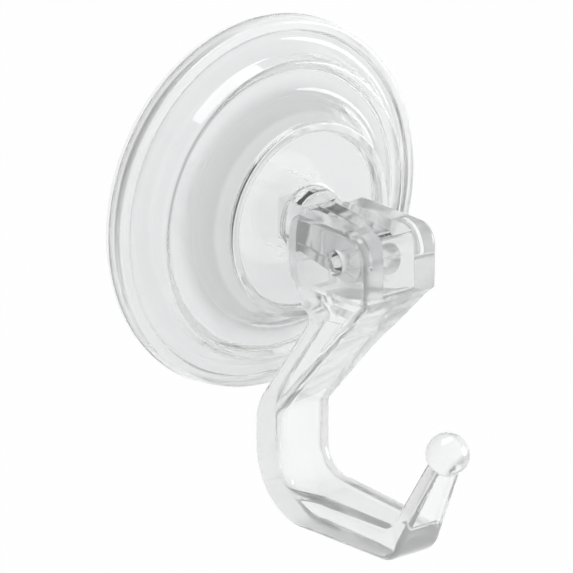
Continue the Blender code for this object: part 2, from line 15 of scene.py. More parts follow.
import bmesh
import bpy
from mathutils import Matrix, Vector


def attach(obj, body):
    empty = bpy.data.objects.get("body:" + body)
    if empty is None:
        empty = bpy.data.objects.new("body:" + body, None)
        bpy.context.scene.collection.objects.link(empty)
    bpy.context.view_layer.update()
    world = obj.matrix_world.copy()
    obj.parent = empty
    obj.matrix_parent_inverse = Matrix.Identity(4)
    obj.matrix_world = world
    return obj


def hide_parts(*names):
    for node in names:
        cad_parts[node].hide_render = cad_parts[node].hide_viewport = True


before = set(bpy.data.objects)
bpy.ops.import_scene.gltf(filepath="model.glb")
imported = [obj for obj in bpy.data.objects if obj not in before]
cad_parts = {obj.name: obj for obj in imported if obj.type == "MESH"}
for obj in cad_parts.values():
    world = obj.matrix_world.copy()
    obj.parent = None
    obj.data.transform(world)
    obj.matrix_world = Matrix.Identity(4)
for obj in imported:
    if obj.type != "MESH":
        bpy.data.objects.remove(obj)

logging.basicConfig(level=logging.INFO, format="%(name)s: %(message)s")
log = logging.getLogger("suction_cup_hook")

MM = 0.001
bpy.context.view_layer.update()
# Vertices closer than WELD are merged, and places closer than NEAR are taken as one; both are in metres.
WELD = 0.0005 * MM
NEAR = 1e-7
# The longest part of a side that a rounded corner may take up.
REACH_SHARE = 0.65
TINY_FILLET = 0.2
FINE_FILLET = 0.3
FILLET = 0.8
WIDE_FILLET = 1.6
EDGE_SEGMENTS = 6
CENTRE = Vector((0.0, 0.0, 0.0))
CUP_AXIS = Vector((0.0, 1.0, 0.0))
PIN_AXIS = Vector((1.0, 0.0, 0.0))
LAMP_AIM = Vector((0.0, -0.02, 0.0))


class Body(Enum):
    """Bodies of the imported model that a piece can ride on."""

    BASE = "base"
    STUD = "stud"
    LEVER = "lever"


class Plastic(Enum):
    """Material slots of the record."""

    SOFT = "soft_clear"
    RIGID = "rigid_clear"


@dataclass(frozen=True)
class Corner:
    """Corner of a drawn outline: its two coordinates and the radius of its fillet, in millimetres."""

    a: float
    b: float
    radius: float = 0.0

    def place(self) -> Vector:
        """Return the corner as a 2-D vector."""
        return Vector((self.a, self.b))


@dataclass(frozen=True)
class Pin:
    """Where the cross pin lies and how thick it is."""

    forward: float = 32.0
    drop: float = 1.8
    radius: float = 1.5
    head_radius: float = 2.1
    head_length: float = 1.1
    recess: float = 0.25
    clearance: float = 0.3
    steps: int = 72

    def point(self, ahead: float, height: float, across: float = 0.0) -> Vector:
        """Return the world place of a point given from the pin.

        Args:
            ahead: distance ahead of the pin, in millimetres.
            height: height above the pin, in millimetres.
            across: distance to the right of the middle plane, in millimetres.

        Returns:
            The place in metres.
        """
        return Vector((across, -(self.forward + ahead), height - self.drop)) * MM


PIN = Pin()


def arc(start: Vector, corner: Vector, end: Vector, steps: int) -> list[Vector]:
    """Return the circular arc that starts and ends tangent to a corner's two sides.

    Args:
        start: first point of the arc.
        corner: where the two sides would meet.
        end: last point of the arc.
        steps: number of straight runs that the arc is drawn with.

    Returns:
        The points from start to end.
    """
    into = (corner - start).normalized()
    out = (end - corner).normalized()
    weight = math.cos(0.5 * into.angle(out))
    points = []
    for k in range(steps + 1):
        t = k / steps
        shares = ((1.0 - t) ** 2, 2.0 * t * (1.0 - t) * weight, t**2)
        total = start * shares[0] + corner * shares[1] + end * shares[2]
        points.append(total / sum(shares))
    return points


def turn_corner(before: Vector, corner: Vector, after: Vector, reach: float, steps: int) -> list[Vector]:
    """Return the curve that rounds a corner from a reach before it to the same reach after it.

    Args:
        before: the corner before.
        corner: the corner to round.
        after: the corner after.
        reach: distance from the corner at which the curve starts and ends.
        steps: number of runs of the curve.

    Returns:
        The points of the curve.
    """
    longest = REACH_SHARE * min((before - corner).length, (after - corner).length)
    reach = min(reach, longest)
    start = corner + (before - corner).normalized() * reach
    end = corner + (after - corner).normalized() * reach
    return arc(start, corner, end, steps)


def rounded(corners: list[Corner], closed: bool = False, steps: int = 8) -> list[Vector]:
    """Return an outline through corners, with an arc at each corner that has a radius.

    Args:
        corners: the corners in order.
        closed: whether the last corner joins the first.
        steps: runs of a corner's arc.

    Returns:
        The outline's points.
    """
    places = [corner.place() for corner in corners]
    points = []
    for i, (place, corner) in enumerate(zip(places, corners)):
        if corner.radius <= 0.0 or (not closed and i in (0, len(places) - 1)):
            points.append(place)
            continue
        before = places[i - 1]
        after = places[(i + 1) % len(places)]
        half = 0.5 * (before - place).angle(after - place)
        points += turn_corner(before, place, after, corner.radius / math.tan(half), steps)
    return points


class Bench:
    """Modelling steps as done by hand: draw, extrude, spin, bevel, cut, join, paint and polish."""

    @staticmethod
    def clear_selection() -> None:
        """Leave edit mode and deselect everything."""
        if bpy.context.object and bpy.context.object.mode != "OBJECT":
            bpy.ops.object.mode_set(mode="OBJECT")
        bpy.ops.object.select_all(action="DESELECT")

    @classmethod
    def take(cls, piece: bpy.types.Object) -> None:
        """Select one object alone and make it active.

        Args:
            piece: the object.
        """
        cls.clear_selection()
        piece.select_set(True)
        bpy.context.view_layer.objects.active = piece

    @classmethod
    def dot(cls, place: Vector) -> None:
        """Add one vertex in edit mode and leave it selected alone.

        Args:
            place: where it goes, in metres.
        """
        bpy.ops.mesh.select_all(action="DESELECT")
        bpy.ops.mesh.primitive_plane_add(size=MM, location=(0.0, 0.0, 0.0))
        bpy.ops.mesh.merge(type="CENTER")
        bpy.ops.transform.translate(value=place)

    @classmethod
    def run_on(cls, places: list[Vector]) -> None:
        """Extrude the selected vertex from the first place along the others.

        Args:
            places: the places in metres, starting at the vertex.
        """
        for before, after in zip(places, places[1:]):
            bpy.ops.mesh.extrude_region_move(TRANSFORM_OT_translate={"value": after - before})

    @classmethod
    def draw(cls, name: str, lines: list[list[Vector]]) -> bpy.types.Object:
        """Start a piece with drawn lines and stay in edit mode with all of it selected.

        Args:
            name: the piece's name.
            lines: each line's places, in metres.

        Returns:
            The new object, in edit mode.
        """
        cls.clear_selection()
        bpy.ops.mesh.primitive_plane_add(size=MM, location=(0.0, 0.0, 0.0))
        piece = bpy.context.active_object
        piece.name = name
        piece.data.name = name
        bpy.ops.object.mode_set(mode="EDIT")
        bpy.ops.mesh.select_mode(type="VERT")
        bpy.ops.mesh.delete(type="VERT")
        for places in lines:
            cls.dot(places[0])
            cls.run_on(places)
        bpy.ops.mesh.select_all(action="SELECT")
        return piece

    @classmethod
    def clean(cls) -> None:
        """Merge doubles and turn the faces outwards, in edit mode."""
        bpy.ops.mesh.select_all(action="SELECT")
        bpy.ops.mesh.remove_doubles(threshold=WELD)
        bpy.ops.mesh.normals_make_consistent(inside=False)

    @classmethod
    def turned(
        cls, name: str, section: list[Vector], centre: Vector, axis: Vector, steps: int
    ) -> bpy.types.Object:
        """Spin a drawn section into a round piece.

        Args:
            name: the piece's name.
            section: places of the section in metres; its ends are joined, or lie on the axis.
            centre: a place on the axis.
            axis: the axis' direction.
            steps: number of steps round.

        Returns:
            The finished solid, in object mode.
        """
        piece = cls.draw(name, [section])
        bpy.ops.mesh.spin(steps=steps, angle=2.0 * math.pi, center=centre, axis=axis)
        cls.clean()
        bpy.ops.object.mode_set(mode="OBJECT")
        return piece

    @classmethod
    def slab(cls, name: str, outline: list[Vector], shift: Vector) -> bpy.types.Object:
        """Fill a drawn outline and extrude it by a shift.

        Args:
            name: the piece's name.
            outline: the outline's places in metres, not repeated at the end.
            shift: the extrusion, in metres.

        Returns:
            The finished solid, in object mode.
        """
        piece = cls.draw(name, [outline + outline[:1]])
        bpy.ops.mesh.remove_doubles(threshold=WELD)
        bpy.ops.mesh.edge_face_add()
        bpy.ops.mesh.extrude_region_move(TRANSFORM_OT_translate={"value": shift})
        cls.clean()
        bpy.ops.object.mode_set(mode="OBJECT")
        return piece

    @classmethod
    def combine(cls, piece: bpy.types.Object, tool: bpy.types.Object, operation: str) -> None:
        """Apply a Boolean with a tool and remove the tool.

        Args:
            piece: the piece to change.
            tool: the cutter or the part to add.
            operation: DIFFERENCE or UNION.
        """
        cls.take(piece)
        step = piece.modifiers.new("combine", "BOOLEAN")
        step.operation = operation
        step.object = tool
        step.solver = "EXACT"
        bpy.ops.object.modifier_apply(modifier=step.name)
        bpy.data.objects.remove(tool, do_unlink=True)

    @classmethod
    def soften(cls, piece: bpy.types.Object, width: float) -> None:
        """Bevel the edges that carry a bevel weight and apply it.

        Args:
            piece: the piece to bevel.
            width: bevel width of a full weight, in millimetres.
        """
        cls.take(piece)
        step = piece.modifiers.new("edges", "BEVEL")
        step.limit_method = "WEIGHT"
        step.offset_type = "OFFSET"
        step.width = width * MM
        step.segments = EDGE_SEGMENTS
        step.use_clamp_overlap = False
        bpy.ops.object.modifier_apply(modifier=step.name)

    @staticmethod
    def paint(
        piece: bpy.types.Object, material: bpy.types.Material, chosen: Callable[[bpy.types.MeshPolygon], bool]
    ) -> None:
        """Give some faces of a dressed piece a finish of their own.

        Args:
            piece: the dressed piece.
            material: the finish of those faces.
            chosen: tells whether a face is one of them.
        """
        piece.data.materials.append(material)
        index = len(piece.data.materials) - 1
        for face in piece.data.polygons:
            if chosen(face):
                face.material_index = index

    @staticmethod
    def from_axis(face: bpy.types.MeshPolygon) -> float:
        """Return how far a face's centre is from the cup's axis, in metres."""
        return math.hypot(face.center.x, face.center.z)

    @classmethod
    def polish(cls, piece: bpy.types.Object, angle: float = 32.0) -> None:
        """Shade a piece smooth between its sharp edges, with flat faces kept flat.

        Args:
            piece: the piece to shade.
            angle: edges that turn by more, in degrees, stay sharp.
        """
        cls.take(piece)
        bpy.ops.object.shade_smooth_by_angle(angle=math.radians(angle))
        step = piece.modifiers.new("normals", "WEIGHTED_NORMAL")
        step.keep_sharp = True
        bpy.ops.object.modifier_apply(modifier=step.name)


@dataclass(frozen=True)
class PaintedShadeRing:
    """Painted shade: a darker ring of a round wall that stands in for the dark band the cap's cone shows
    under the studio light, in millimetres from the axis, with its strength and colour.
    """

    inner: float
    outer: float
    strength: float
    middle_level: float = 0.8
    lead: float = 0.4
    rise: float = 0.3
    fade: float = 3.0
    reach: float = 35.0
    colour: tuple[float, float, float] = (0.3, 0.31, 0.31)

    def stops(self) -> list[tuple[float, float]]:
        """Return the radii and levels where the ring starts, is darkest, has its middle and ends."""
        return [
            (self.inner - self.lead, 0.0),
            (self.inner + self.rise, 1.0),
            (0.5 * (self.inner + self.outer), self.middle_level),
            (self.outer + self.fade, 0.0),
        ]

    def darken(
        self, tree: bpy.types.NodeTree, place: bpy.types.NodeSocket, colour: bpy.types.NodeSocket
    ) -> bpy.types.NodeSocket:
        """Add nodes that paint the ring's shade about the cup's axis.

        Args:
            tree: the node tree to add to.
            place: the Object coordinates.
            colour: the colour to darken.

        Returns:
            The socket with the darkened colour.
        """
        flat = tree.nodes.new("ShaderNodeVectorMath")
        flat.operation = "MULTIPLY"
        flat.inputs[1].default_value = (1.0 / MM, 0.0, 1.0 / MM)
        tree.links.new(place, flat.inputs[0])
        radius = tree.nodes.new("ShaderNodeVectorMath")
        radius.operation = "LENGTH"
        tree.links.new(flat.outputs["Vector"], radius.inputs[0])
        span = 1.0 / self.reach
        scale = tree.nodes.new("ShaderNodeMath")
        scale.operation = "MULTIPLY"
        scale.inputs[1].default_value = span
        tree.links.new(radius.outputs["Value"], scale.inputs[0])
        curve = tree.nodes.new("ShaderNodeValToRGB")
        curve.color_ramp.interpolation = "EASE"
        start, *middle, end = self.stops()
        for stop, (distance, level) in zip(curve.color_ramp.elements, (start, end)):
            stop.position = distance * span
            stop.color = (level, level, level, 1.0)
        for distance, level in middle:
            curve.color_ramp.elements.new(distance * span).color = (level, level, level, 1.0)
        tree.links.new(scale.outputs["Value"], curve.inputs["Fac"])
        weight = tree.nodes.new("ShaderNodeMath")
        weight.operation = "MULTIPLY"
        weight.inputs[1].default_value = self.strength
        tree.links.new(curve.outputs["Color"], weight.inputs[0])
        mix = tree.nodes.new("ShaderNodeMix")
        mix.data_type = "RGBA"
        plain, dark = (socket for socket in mix.inputs if socket.type == "RGBA")
        dark.default_value = (*self.colour, 1.0)
        tree.links.new(colour, plain)
        tree.links.new(weight.outputs["Value"], mix.inputs[0])
        return next(socket for socket in mix.outputs if socket.type == "RGBA")


@dataclass(frozen=True)
class ClearFinish:
    """See-through moulded plastic: tint, gloss, how uneven its skin is, its share of haze, and an optional
    ring of painted shade.
    """

    name: str
    tint: tuple[float, float, float] = (0.968, 0.973, 0.974)
    shade: tuple[float, float, float] = (0.948, 0.953, 0.955)
    ior: float = 1.49
    roughness: tuple[float, float] = (0.03, 0.06)
    cloud_scale: float = 90.0
    cloud_detail: float = 3.0
    cloud_span: tuple[float, float] = (0.3, 0.7)
    ripple_scale: float = 160.0
    ripple_detail: float = 1.0
    ripple_depth: float = 0.1
    ripple: float = 0.06
    haze: float = 0.05
    # Optional ring of painted shade, which darkens the base colour by the distance from the cup's axis.
    painted_shade_ring: PaintedShadeRing | None = None

    def material(self) -> bpy.types.Material:
        """Make the finish as a node material on Object coordinates.

        Returns:
            The new material.
        """
        material = bpy.data.materials.new(self.name)
        material.use_nodes = True
        nodes = material.node_tree.nodes
        links = material.node_tree.links
        shader = nodes["Principled BSDF"]
        shader.inputs["Transmission Weight"].default_value = 1.0 - self.haze
        shader.inputs["IOR"].default_value = self.ior
        place = nodes.new("ShaderNodeTexCoord")

        cloud = nodes.new("ShaderNodeTexNoise")
        cloud.inputs["Scale"].default_value = self.cloud_scale
        cloud.inputs["Detail"].default_value = self.cloud_detail
        links.new(place.outputs["Object"], cloud.inputs["Vector"])
        tone = nodes.new("ShaderNodeValToRGB")
        for stop, position, colour in zip(tone.color_ramp.elements, self.cloud_span, (self.shade, self.tint)):
            stop.position = position
            stop.color = (*colour, 1.0)
        links.new(cloud.outputs["Fac"], tone.inputs["Fac"])
        colour = tone.outputs["Color"]
        # Paint the ring of shade into the base colour.
        if self.painted_shade_ring:
            colour = self.painted_shade_ring.darken(material.node_tree, place.outputs["Object"], colour)
        links.new(colour, shader.inputs["Base Color"])

        gloss = nodes.new("ShaderNodeMapRange")
        gloss.inputs["To Min"].default_value = self.roughness[0]
        gloss.inputs["To Max"].default_value = self.roughness[1]
        links.new(cloud.outputs["Fac"], gloss.inputs["Value"])
        links.new(gloss.outputs["Result"], shader.inputs["Roughness"])

        ripple = nodes.new("ShaderNodeTexNoise")
        ripple.inputs["Scale"].default_value = self.ripple_scale
        ripple.inputs["Detail"].default_value = self.ripple_detail
        links.new(place.outputs["Object"], ripple.inputs["Vector"])
        bump = nodes.new("ShaderNodeBump")
        bump.inputs["Strength"].default_value = self.ripple
        bump.inputs["Distance"].default_value = self.ripple_depth * MM
        links.new(ripple.outputs["Fac"], bump.inputs["Height"])
        links.new(bump.outputs["Normal"], shader.inputs["Normal"])
        return material


RIGID = ClearFinish("clear_rigid_plastic")
# The cap's finish carries a ring of painted shade over the cone, between the plateau and the terrace.
CAP_WITH_PAINTED_SHADE = replace(
    RIGID, name="clear_cap_painted_shade", painted_shade_ring=PaintedShadeRing(inner=17.9, outer=22.2, strength=0.4)
)
COLLAR = ClearFinish(
    "clear_collar_plastic", tint=(0.97, 0.975, 0.976), shade=(0.95, 0.955, 0.957), ior=1.18, haze=0.03
)
RING = replace(COLLAR, name="clear_ring_plastic", ior=1.49, roughness=(0.05, 0.1), haze=0.3)
THICK = ClearFinish(
    "clear_thick_plastic",
    tint=(0.98, 0.985, 0.986),
    shade=(0.965, 0.971, 0.973),
    roughness=(0.05, 0.1),
    ripple=0.08,
    haze=0.16,
)
# The facets' higher roughness is their duller skin; their darker tint is painted shade.
FACET = replace(
    THICK,
    name="clear_facet_plastic",
    tint=(0.9, 0.905, 0.907),
    shade=(0.86, 0.866, 0.869),
    roughness=(0.15, 0.22),
    haze=0.11,
)
SOFT = ClearFinish(
    "clear_soft_vinyl",
    tint=(0.965, 0.97, 0.972),
    shade=(0.945, 0.95, 0.953),
    ior=1.1,
    roughness=(0.35, 0.45),
    cloud_scale=60.0,
    ripple_scale=120.0,
    ripple=0.08,
    haze=0.12,
)
EMBEDDED = ClearFinish(
    "clear_embedded_plastic",
    tint=(0.99, 0.99, 0.99),
    shade=(0.98, 0.98, 0.98),
    ior=1.02,
    roughness=(0.05, 0.1),
    haze=0.0,
)


def dress(
    piece: bpy.types.Object, material: bpy.types.Material, body: Body, node: str
) -> None:
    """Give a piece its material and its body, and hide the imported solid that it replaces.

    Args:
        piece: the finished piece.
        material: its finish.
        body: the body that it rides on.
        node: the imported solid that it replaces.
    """
    piece.data.materials.clear()
    piece.data.materials.append(material)
    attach(piece, body.value)
    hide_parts(node)
    log.info("%s: %d faces, rides on %s", piece.name, len(piece.data.polygons), body.value)


@dataclass
class Stud:
    """Stud held in the cup: flange, flat neck through the collar, and eye."""

    flange_radius: float = 6.6
    flange_back: float = 7.55
    flange_front: float = 9.35
    edge: float = 0.3
    half_width: float = 3.1
    half_height: float = 3.6
    neck_end: float = 19.5
    eye_radius: float = 4.4
    neck_edge: float = 0.35
    neck_edge_steps: int = 3
    neck_edge_angle: float = 50.0
    bore_overshoot: float = 2.0
    eye_steps: int = 40
    flange_steps: int = 96

    def side_view(self) -> list[Vector]:
        """Work out the side view of the neck and eye.

        Returns:
            The points as (forward, height), in millimetres.
        """
        eye = Vector((PIN.forward, -PIN.drop))
        root = self.flange_back + 0.5 * (self.flange_front - self.flange_back)
        below = Vector((self.neck_end, -self.half_height))
        above = Vector((self.neck_end, self.half_height))
        down = below - eye
        up = above - eye
        first = math.atan2(-down.y, -down.x) + math.acos(self.eye_radius / down.length) - math.pi
        last = math.pi - math.atan2(up.y, -up.x) - math.acos(self.eye_radius / up.length)
        points = [Vector((root, self.half_height)), Vector((root, -self.half_height)), below]
        for i in range(self.eye_steps + 1):
            turn = first + (last - first) * i / self.eye_steps
            points.append(eye + self.eye_radius * Vector((math.cos(turn), math.sin(turn))))
        points.append(above)
        return points

    def build(self) -> bpy.types.Object:
        """Model the stud.

        Returns:
            The finished solid.
        """
        section = rounded(
            [
                Corner(0.0, self.flange_back),
                Corner(self.flange_radius, self.flange_back, self.edge),
                Corner(self.flange_radius, self.flange_front, self.edge),
                Corner(0.0, self.flange_front),
            ],
            steps=4,
        )
        places = [Vector((radius, -forward, 0.0)) * MM for radius, forward in section]
        stud = Bench.turned("stud", places, CENTRE, CUP_AXIS, self.flange_steps)
        left = -self.half_width
        outline = [Vector((left, -forward, height)) * MM for forward, height in self.side_view()]
        neck = Bench.slab("stud_neck", outline, Vector((2.0 * self.half_width * MM, 0.0, 0.0)))
        step = neck.modifiers.new("edges", "BEVEL")
        step.width = self.neck_edge * MM
        step.segments = self.neck_edge_steps
        step.limit_method = "ANGLE"
        step.angle_limit = math.radians(self.neck_edge_angle)
        Bench.take(neck)
        bpy.ops.object.modifier_apply(modifier=step.name)
        Bench.combine(stud, neck, "UNION")
        reach = self.half_width + self.bore_overshoot
        Bench.combine(stud, pin_cutter("stud_bore", PIN.radius + PIN.clearance, reach), "DIFFERENCE")
        Bench.polish(stud)
        return stud

    def embed_flange(self, stud: bpy.types.Object, material: bpy.types.Material) -> None:
        """Give the flange a finish that hardly bends light, so that it doesn't show through the cap.

        Args:
            stud: the dressed stud.
            material: the finish of hidden parts.
        """
        front = -(self.flange_front + self.edge) * MM
        Bench.paint(stud, material, lambda face: face.center.y > front)


def pin_cutter(name: str, radius: float, reach: float, centre: float = 0.0) -> bpy.types.Object:
    """Return a cylinder about the cross pin's axis.

    Args:
        name: its name.
        radius: its radius in millimetres.
        reach: half its length in millimetres.
        centre: where its middle lies across, in millimetres.

    Returns:
        The cylinder, with its place in its mesh.
    """
    Bench.clear_selection()
    bpy.ops.mesh.primitive_cylinder_add(
        vertices=PIN.steps,
        radius=radius * MM,
        depth=2.0 * reach * MM,
        location=PIN.point(0.0, 0.0, centre),
        rotation=(0.0, math.radians(90.0), 0.0),
    )
    cutter = bpy.context.active_object
    cutter.name = name
    bpy.ops.object.transform_apply(location=True, rotation=True, scale=True)
    return cutter


@dataclass
class CrossPin:
    """Cross pin with one head, sunk in the left cheek."""

    half_length: float = 8.05
    edge: float = 0.3

    def build(self) -> bpy.types.Object:
        """Model the pin.

        Returns:
            The finished solid.
        """
        section = rounded(
            [
                Corner(0.0, -self.half_length),
                Corner(PIN.head_radius, -self.half_length, self.edge),
                Corner(PIN.head_radius, PIN.head_length - self.half_length),
                Corner(PIN.radius, PIN.head_length - self.half_length),
                Corner(PIN.radius, self.half_length, self.edge),
                Corner(0.0, self.half_length),
            ],
            steps=4,
        )
        places = [PIN.point(0.0, radius, across) for radius, across in section]
        pin = Bench.turned("cross_pin", places, PIN.point(0.0, 0.0), PIN_AXIS, PIN.steps)
        Bench.polish(pin)
        return pin


@dataclass
class SoftCup:
    """Soft cup: hollow, sealing ring, lip and the boss that holds the stud."""

    lip_radius: float = 34.3
    lip_thickness: float = 1.05
    lip_taper: float = 0.5
    seal_width: float = 2.0
    hollow_depth: float = 5.0
    hollow_power: float = 2.2
    membrane: float = 1.45
    under_rim: float = 33.0
    boss_radius: float = 8.25
    boss_front: float = 10.95
    boss_flare: float = 2.2
    boss_root: float = 1.2
    pocket_mouth: float = 5.1
    pocket_radius: float = 6.95
    pocket_floor: float = 6.45
    pocket_front: float = 9.65
    web: float = 0.3
    hollow_steps: int = 40
    membrane_steps: int = 35
    steps: int = 192

    def hollow(self, radius: float) -> float:
        """Return how far the hollow's surface stands off the wall at a radius."""
        share = min(radius / (self.lip_radius - self.seal_width), 1.0)
        return self.hollow_depth * (1.0 - share**self.hollow_power)

    def section(self) -> list[Vector]:
        """Work out the cup's section from the middle of its hollow round to the pocket's floor.

        Returns:
            The points as (radius, forward), in millimetres.
        """
        inner = self.lip_radius - self.seal_width
        radii = [inner * i / self.hollow_steps for i in range(self.hollow_steps + 1)]
        points = [Vector((radius, self.hollow(radius))) for radius in radii]
        points += rounded(
            [
                Corner(inner, 0.0),
                Corner(self.lip_radius - 0.5 * self.lip_taper, 0.0, TINY_FILLET),
                Corner(self.lip_radius, 0.5 * self.lip_taper, FINE_FILLET),
                Corner(self.lip_radius - self.lip_taper, self.lip_thickness, TINY_FILLET),
                Corner(self.under_rim, self.lip_thickness),
            ],
            steps=4,
        )[1:]
        outer = self.under_rim - self.web
        start = self.boss_radius + self.boss_flare
        for i in range(self.membrane_steps + 1):
            radius = outer + (start - outer) * i / self.membrane_steps
            points.append(Vector((radius, self.hollow(radius) + self.membrane)))
        points += rounded(
            [
                Corner(start, self.hollow(start) + self.membrane),
                Corner(self.boss_radius, self.hollow(self.boss_radius) + self.membrane, self.boss_root),
                Corner(self.boss_radius, self.boss_front, FILLET),
                Corner(self.pocket_mouth, self.boss_front, TINY_FILLET),
                Corner(self.pocket_mouth, self.pocket_front, TINY_FILLET),
                Corner(self.pocket_radius, self.pocket_front, FINE_FILLET),
                Corner(self.pocket_radius, self.pocket_floor, FINE_FILLET),
                Corner(0.0, self.pocket_floor),
            ],
            steps=5,
        )[1:]
        return points

    def build(self) -> bpy.types.Object:
        """Model the cup.

        Returns:
            The finished solid.
        """
        places = [Vector((radius, -forward, 0.0)) * MM for radius, forward in self.section()]
        cup = Bench.turned("soft_cup", places, CENTRE, CUP_AXIS, self.steps)
        Bench.polish(cup)
        return cup

    def clear_boss(self, cup: bpy.types.Object, material: bpy.types.Material) -> None:
        """Give the boss a finish that hardly bends light, so that it doesn't show through the cap.

        Args:
            cup: the dressed cup.
            material: the finish of hidden parts.
        """
        reach = (self.boss_radius + self.boss_flare) * MM
        depth = -self.hollow_depth * MM
        Bench.paint(cup, material, lambda face: Bench.from_axis(face) < reach and face.center.y < depth)


@dataclass
class PressureCap:
    """Rigid cap over the cup: rim bead, gutter, shoulder, terrace, cone, plateau and collar."""

    radius: float = 34.6
    wall: float = 1.9
    rim_wall: float = 1.0
    rim_draft: float = 0.5
    rim_back: float = 1.35
    bead_height: float = 4.6
    bead_width: float = 1.7
    gutter_height: float = 4.05
    shoulder_base: float = 30.4
    shoulder_flare: float = 0.9
    shoulder_radius: float = 27.6
    shoulder_height: float = 8.8
    shoulder_wall: float = 2.6
    terrace_inner: float = 22.2
    terrace_rise: float = 0.3
    plateau_radius: float = 17.9
    plateau_height: float = 15.5
    ring_width: float = 1.2
    ring_height: float = 0.35
    collar_radius: float = 6.2
    collar_height: float = 2.9
    collar_edge: float = 0.4
    key_half_width: float = 3.45
    key_half_height: float = 3.95
    under_gutter: float = 2.42
    under_bead: float = 1.8
    skirt_slope: float = 0.3
    finish_margin: float = 0.1
    steps: int = 256

    def outside(self) -> list[Vector]:
        """Work out the outer section, from the skirt over the steps to the collar's middle.

        Returns:
            The points as (radius, forward), in millimetres.
        """
        terrace = self.shoulder_height + self.terrace_rise
        bead_inner = self.radius - self.rim_draft - self.bead_width
        ring = self.plateau_height + self.ring_height
        ring_inner = self.plateau_radius - self.ring_width
        collar_front = self.plateau_height + self.collar_height
        shoulder_foot = self.shoulder_radius + self.shoulder_flare
        corners = [
            Corner(self.radius, self.rim_back),
            Corner(self.radius - self.rim_draft, self.bead_height, FILLET),
            Corner(bead_inner, self.bead_height, FINE_FILLET),
            Corner(bead_inner - self.rim_draft, self.gutter_height, FINE_FILLET),
            Corner(self.shoulder_base, self.gutter_height, WIDE_FILLET),
            Corner(shoulder_foot, self.shoulder_height - self.shoulder_wall, WIDE_FILLET),
            Corner(self.shoulder_radius, self.shoulder_height, FILLET),
            Corner(self.terrace_inner, terrace, WIDE_FILLET),
            Corner(self.plateau_radius + self.ring_height, ring - self.ring_width, FILLET),
            Corner(self.plateau_radius, ring, FINE_FILLET),
            Corner(ring_inner, ring, FINE_FILLET),
            Corner(ring_inner - self.ring_height, self.plateau_height, TINY_FILLET),
            Corner(self.collar_radius, self.plateau_height, FILLET),
            Corner(self.collar_radius, collar_front, self.collar_edge),
            Corner(0.0, collar_front),
        ]
        return rounded(corners)

    def inside(self) -> list[Vector]:
        """Work out the inner section, from the plateau's middle back to the skirt.

        Returns:
            The points as (radius, forward), in millimetres.
        """
        terrace = self.shoulder_height + self.terrace_rise
        rim_inner = self.radius - self.rim_wall
        corners = [
            Corner(0.0, self.plateau_height - self.wall),
            Corner(self.plateau_radius - self.wall, self.plateau_height - self.wall, FILLET),
            Corner(self.terrace_inner - self.wall, terrace - self.wall, FILLET),
            Corner(self.shoulder_radius - self.wall, self.shoulder_height - self.wall, FILLET),
            Corner(self.shoulder_radius + self.shoulder_flare - self.wall, self.gutter_height, FILLET),
            Corner(self.shoulder_base, self.under_gutter),
            Corner(rim_inner - self.skirt_slope, self.under_bead),
            Corner(rim_inner, self.rim_back),
        ]
        return rounded(corners)

    def build(self) -> bpy.types.Object:
        """Model the cap and cut its keyway.

        Returns:
            The finished solid.
        """
        section = self.outside() + self.inside()
        places = [Vector((radius, -forward, 0.0)) * MM for radius, forward in section + section[:1]]
        cap = Bench.turned("cap", places, CENTRE, CUP_AXIS, self.steps)
        Bench.clear_selection()
        middle = self.plateau_height + 0.5 * (self.collar_height - self.wall)
        bpy.ops.mesh.primitive_cube_add(size=MM, location=(0.0, -middle * MM, 0.0))
        key = bpy.context.active_object
        key.name = "keyway"
        length = self.collar_height + 3.0 * self.wall
        bpy.ops.transform.resize(value=(2.0 * self.key_half_width, length, 2.0 * self.key_half_height))
        bpy.ops.object.transform_apply(location=True, rotation=True, scale=True)
        Bench.combine(cap, key, "DIFFERENCE")
        Bench.polish(cap)
        return cap

    def clear_collar(self, cap: bpy.types.Object, material: bpy.types.Material) -> None:
        """Give the collar a finish that bends light less, so that it stays pale behind the head.

        Args:
            cap: the dressed cap.
            material: the finish of the collar.
        """
        reach = (self.collar_radius + self.finish_margin) * MM
        Bench.paint(cap, material, lambda face: Bench.from_axis(face) < reach)

    def cloud_rings(self, cap: bpy.types.Object, material: bpy.types.Material) -> None:
        """Give the rim bead and the plateau's ring a hazier finish, so that their edges stay light.

        Args:
            cap: the dressed cap.
            material: the finish of the two rings.
        """
        bead_inner = (self.radius - self.rim_draft - self.bead_width - self.finish_margin) * MM
        ring_inner = (self.plateau_radius - self.ring_width - 2.0 * self.ring_height) * MM
        ring_outer = (self.plateau_radius + 0.5 * self.ring_height) * MM

        def on_ring(face: bpy.types.MeshPolygon) -> bool:
            """Tell whether a face is on the rim bead or on the plateau's ring."""
            radius = Bench.from_axis(face)
            return radius > bead_inner or ring_inner < radius < ring_outer

        Bench.paint(cap, material, on_ring)


@dataclass(frozen=True)
class Bend:
    """Bend of the lever: its corner and reach on back and front, half its width and its edge radii."""

    back: Vector
    front: Vector
    back_reach: float
    front_reach: float
    half_width: float
    back_edge: float
    front_edge: float


@dataclass(frozen=True)
class Station:
    """Place along the lever where its section is drawn: back and front point, half width, edge radii."""

    back: Vector
    front: Vector
    half_width: float
    back_edge: float
    front_edge: float


Corners = dict[tuple[int, int, int], bmesh.types.BMVert]


def meet(first: Vector, first_way: Vector, second: Vector, second_way: Vector) -> Vector:
    """Return where two lines cross, each given by a place and a way."""
    offset = second - first
    return first + first_way * (offset.cross(second_way) / first_way.cross(second_way))


